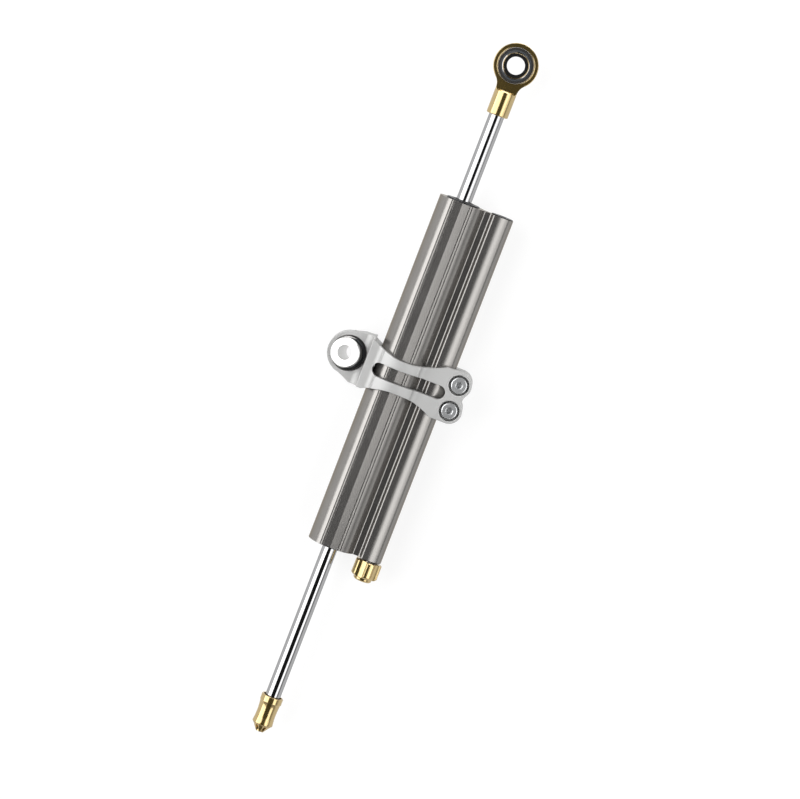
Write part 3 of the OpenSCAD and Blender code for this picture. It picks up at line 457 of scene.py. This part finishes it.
# ---------------------------------------------------------------------------------------------
# Pivot. A second spherical bearing in the clamp's eye, with two turned sleeves that the mounting
# bolt holds against its ball.
# ---------------------------------------------------------------------------------------------
sleeve_rim = 0.15 * mm
pivot_middle = (-144.936 * mm, 23.3 * mm, 0)
swivel_axis = (0, 0.207912, 0.978148)
swivel_finish = new_metal(
    "turned bearing steel of the swivel eye", (0.4, 0.39, 0.39, 1), (0.62, 0.61, 0.6, 1), gloss=(0.1, 0.18),
    metallic=0.95, fineness=3000.0, relief=0.006 * mm, edge=0.2 * mm, edge_share=0.7,
    turned=(pivot_middle, (0, 0, 1)))
sleeve_finish = new_metal(
    "turned and plated sleeves", (0.66, 0.66, 0.65, 1), (0.85, 0.85, 0.84, 1), gloss=(0.26, 0.38),
    fineness=8000.0, relief=0.001 * mm, turned=(pivot_middle, swivel_axis))
finish_node("clamp_race", swivel_finish)
finish_node("clamp_ball", swivel_finish)
sleeves = broken_edges("pivot_sleeves", "pivot_sleeves_turned", sleeve_rim)
fit(sleeves, "pivot_sleeves", "pivot_sleeves", sleeve_finish)

# ---------------------------------------------------------------------------------------------
# Bypass plug and adjuster. A black plug closes the bypass tube's upper end. At the lower end a
# gland holds the needle, which the fluted gold knob turns in front of a bronze seat.
# ---------------------------------------------------------------------------------------------
plug_rim = 0.1 * mm
plug = broken_edges("bypass_plug", "bypass_plug_turned", plug_rim)
fit(plug, "barrel", "bypass_plug", black_finish)
gland = broken_edges("adjuster_gland", "adjuster_gland_turned", plug_rim)
fit(gland, "barrel", "adjuster_gland", black_finish)
for node in ("bypass_plug_o_ring", "adjuster_gland_o_ring", "needle_o_ring"):
    finish_node(node, rubber_finish)
finish_node("valve_seat", bronze_finish)
finish_node("adjuster_needle", machined_finish)
finish_node("knob_grub_screw", bearing_finish)
knob_rim = 0.15 * mm
flute_round = 0.8 * mm
flute_corner = math.radians(35)
shortest_flute = 5 * mm
straightness = 0.99
knob = clean_copy("adjuster_knob", "adjuster_knob_fluted")
only(knob)
bpy.ops.object.mode_set(mode="EDIT")
bpy.ops.mesh.select_mode(type="EDGE")
bpy.ops.mesh.select_all(action="DESELECT")
bpy.ops.object.mode_set(mode="OBJECT")
# The long corners between the flutes are rounded more than the other edges
for edge in knob.data.edges:
    near, far = (knob.data.vertices[v].co for v in edge.vertices)
    along = far - near
    faces = [face for face in knob.data.polygons if set(edge.vertices) <= set(face.vertices)]
    corner_line = len(faces) == 2 and faces[0].normal.angle(faces[1].normal) > flute_corner
    edge.select = corner_line and abs(along.x) > max(shortest_flute, straightness * along.length)
bpy.ops.object.mode_set(mode="EDIT")
bpy.ops.mesh.bevel(offset=flute_round, segments=5, affect="EDGES")
bpy.ops.object.mode_set(mode="OBJECT")
break_edges(knob, knob_rim)
fit(knob, "knob", "adjuster_knob", gold_finish)

# ---------------------------------------------------------------------------------------------
# Floor. A plain white sheet under the damper. What the camera and the metal see of it is brought
# up to white, and the shadow stays.
# ---------------------------------------------------------------------------------------------
floor_size = 8
paper_grey = (0.2, 0.2, 0.2, 1)
paper_white = 0.82
bpy.ops.object.select_all(action="DESELECT")
bpy.ops.mesh.primitive_plane_add(size=floor_size, location=(0, 0, cad_box[0].z))
floor = bpy.context.object
floor.name = "floor"
bpy.ops.object.transform_apply(location=True, rotation=True, scale=True)
floor_paper = bpy.data.materials.new("white paper floor")
floor_paper.use_nodes = True
nodes, links = floor_paper.node_tree.nodes, floor_paper.node_tree.links
surface = nodes["Principled BSDF"]
surface.inputs["Base Color"].default_value = paper_grey
surface.inputs["Roughness"].default_value = 0.9
surface.inputs["Specular IOR Level"].default_value = 0.1
ray = nodes.new("ShaderNodeLightPath")
seen = nodes.new("ShaderNodeMath")
seen.operation = "MAXIMUM"
also = nodes.new("ShaderNodeMath")
also.operation = "MAXIMUM"
lift = nodes.new("ShaderNodeMath")
lift.operation = "MULTIPLY"
lift.inputs[1].default_value = paper_white
links.new(ray.outputs["Is Camera Ray"], seen.inputs[0])
links.new(ray.outputs["Is Glossy Ray"], seen.inputs[1])
links.new(seen.outputs["Value"], also.inputs[0])
links.new(ray.outputs["Is Transmission Ray"], also.inputs[1])
links.new(also.outputs["Value"], lift.inputs[0])
surface.inputs["Emission Color"].default_value = (1, 1, 1, 1)
links.new(lift.outputs["Value"], surface.inputs["Emission Strength"])
floor.data.materials.append(floor_paper)

# ---------------------------------------------------------------------------------------------
# Studio. Long soft boxes on both sides of the camera, a low one beyond the rod end, and a grey room
# with a dark strip over the camera, a white band round the horizon and a dark card at the knob's end.
# ---------------------------------------------------------------------------------------------
damper_middle = Vector((-156.53 * mm, -5.33 * mm, 0))


def soft_box(name, first, last, low, high, distance, brightness):
    """A long area lamp over the damper. It spans these angles about the axis, from overhead towards +Y,
    and these distances along the axis from the damper's middle."""
    middle = math.radians((first + last) / 2)
    lamp = bpy.data.lights.new(name, "AREA")
    lamp.shape = "RECTANGLE"
    lamp.size = high - low
    lamp.size_y = 2 * distance * math.tan(math.radians((last - first) / 2))
    lamp.energy = brightness * math.pi * lamp.size * lamp.size_y
    box = bpy.data.objects.new(name, lamp)
    bpy.context.collection.objects.link(box)
    box.location = damper_middle + Vector(
        ((low + high) / 2, distance * math.sin(middle), distance * math.cos(middle)))
    box.rotation_euler = (-middle, 0, 0)
    box.visible_camera = False


soft_box("left_soft_box", 16, 75, -0.27, 0.65, 1.1, 2.85)
soft_box("left_low_soft_box", 26, 75, -0.65, -0.27, 1.1, 2.85)
soft_box("left_strip_box", 60, 72, -0.65, 0.65, 1.0, 1.05)
soft_box("right_soft_box", -66, -22, -0.27, 0.65, 1.1, 1.5)
soft_box("right_low_soft_box", -56, -29, -0.65, -0.27, 1.1, 2.4)
soft_box("right_strip_box", -48, -30, -0.27, 0.65, 1.0, 1.3)

# A low soft box beyond the rod end lights the faces that look along the damper
end_lamp = bpy.data.lights.new("end_soft_box", "AREA")
end_lamp.shape = "RECTANGLE"
end_lamp.size = 0.35
end_lamp.size_y = 1.0
end_lamp.energy = 5.5
end_box = bpy.data.objects.new("end_soft_box", end_lamp)
bpy.context.collection.objects.link(end_box)
end_box.location = damper_middle + Vector((1.0, 0, 0.18))
end_box.rotation_euler = (0, math.radians(80), 0)
end_box.visible_camera = False

# Room: its brightness by the angle round the damper's axis, as a share from the floor on -Y to that on +Y
room_grey = (0.45, 0.45, 0.45, 1)
strip_dark = (0.02, 0.02, 0.02, 1)
band_white = (1, 1, 1, 1)
band_glow = (1.1, 1.1, 1.1, 1)
card_dark = (0.05, 0.05, 0.05, 1)
stops = ((0.336, room_grey), (0.35, strip_dark), (0.633, strip_dark), (0.647, room_grey), (0.9, room_grey),
         (0.915, band_glow), (1.0, band_white))
world = bpy.data.worlds.new("studio room")
bpy.context.scene.world = world
world.use_nodes = True
nodes, links = world.node_tree.nodes, world.node_tree.links
room = nodes["Background"]
look = nodes.new("ShaderNodeTexCoord")
axes = nodes.new("ShaderNodeSeparateXYZ")
roll = nodes.new("ShaderNodeMath")
roll.operation = "ARCTAN2"
links.new(look.outputs["Generated"], axes.inputs["Vector"])
links.new(axes.outputs["Y"], roll.inputs[0])
links.new(axes.outputs["Z"], roll.inputs[1])
strip = nodes.new("ShaderNodeValToRGB")
elements = strip.color_ramp.elements
elements.remove(elements[1])
for place_in_strip, brightness in stops[1:]:
    elements.new(place_in_strip).color = brightness
elements[0].position, elements[0].color = stops[0]
share = nodes.new("ShaderNodeMapRange")
share.inputs["From Min"].default_value = -math.pi / 2
share.inputs["From Max"].default_value = math.pi / 2
links.new(roll.outputs["Value"], share.inputs["Value"])
links.new(share.outputs["Result"], strip.inputs["Fac"])
rise = nodes.new("ShaderNodeMapRange")
rise.inputs["From Min"].default_value = 0.1
rise.inputs["From Max"].default_value = 0.2
links.new(axes.outputs["Z"], rise.inputs["Value"])
tint = nodes.new("ShaderNodeMix")
tint.data_type = "RGBA"
tint.inputs["A"].default_value = band_white
links.new(rise.outputs["Result"], tint.inputs["Factor"])
links.new(strip.outputs["Color"], tint.inputs["B"])

# A dark card beyond the knob and the tip, which only the metals see
card = nodes.new("ShaderNodeMapRange")
card.inputs["From Min"].default_value = -0.7
card.inputs["From Max"].default_value = -0.85
links.new(axes.outputs["X"], card.inputs["Value"])
ray = nodes.new("ShaderNodeLightPath")
card_seen = nodes.new("ShaderNodeMath")
card_seen.operation = "MULTIPLY"
links.new(card.outputs["Result"], card_seen.inputs[0])
links.new(ray.outputs["Is Glossy Ray"], card_seen.inputs[1])
carded = nodes.new("ShaderNodeMix")
carded.data_type = "RGBA"
carded.inputs["B"].default_value = card_dark
links.new(card_seen.outputs["Value"], carded.inputs["Factor"])
links.new(tint.outputs["Result"], carded.inputs["A"])
links.new(carded.outputs["Result"], room.inputs["Color"])

# ---------------------------------------------------------------------------------------------
# Camera. A long lens over the rod end, turned so that the damper leans to the right as it lies
# in the picture.
# ---------------------------------------------------------------------------------------------
lean = math.radians(21)
lens = bpy.data.cameras.new("camera")
lens.lens = 152.46
lens.sensor_width = 36
lens.clip_end = 20
camera = bpy.data.objects.new("camera", lens)
bpy.context.collection.objects.link(camera)
camera.location = (14 * mm, -5.35 * mm, 1500 * mm)
back = (camera.location - damper_middle).normalized()
up = Vector((math.cos(lean), math.sin(lean), 0))
right = up.cross(back).normalized()
up = back.cross(right)
camera.rotation_mode = "QUATERNION"
camera.rotation_quaternion = Matrix((right, up, back)).transposed().to_quaternion()
bpy.context.scene.camera = camera

bpy.context.scene.view_settings.view_transform = "Standard"
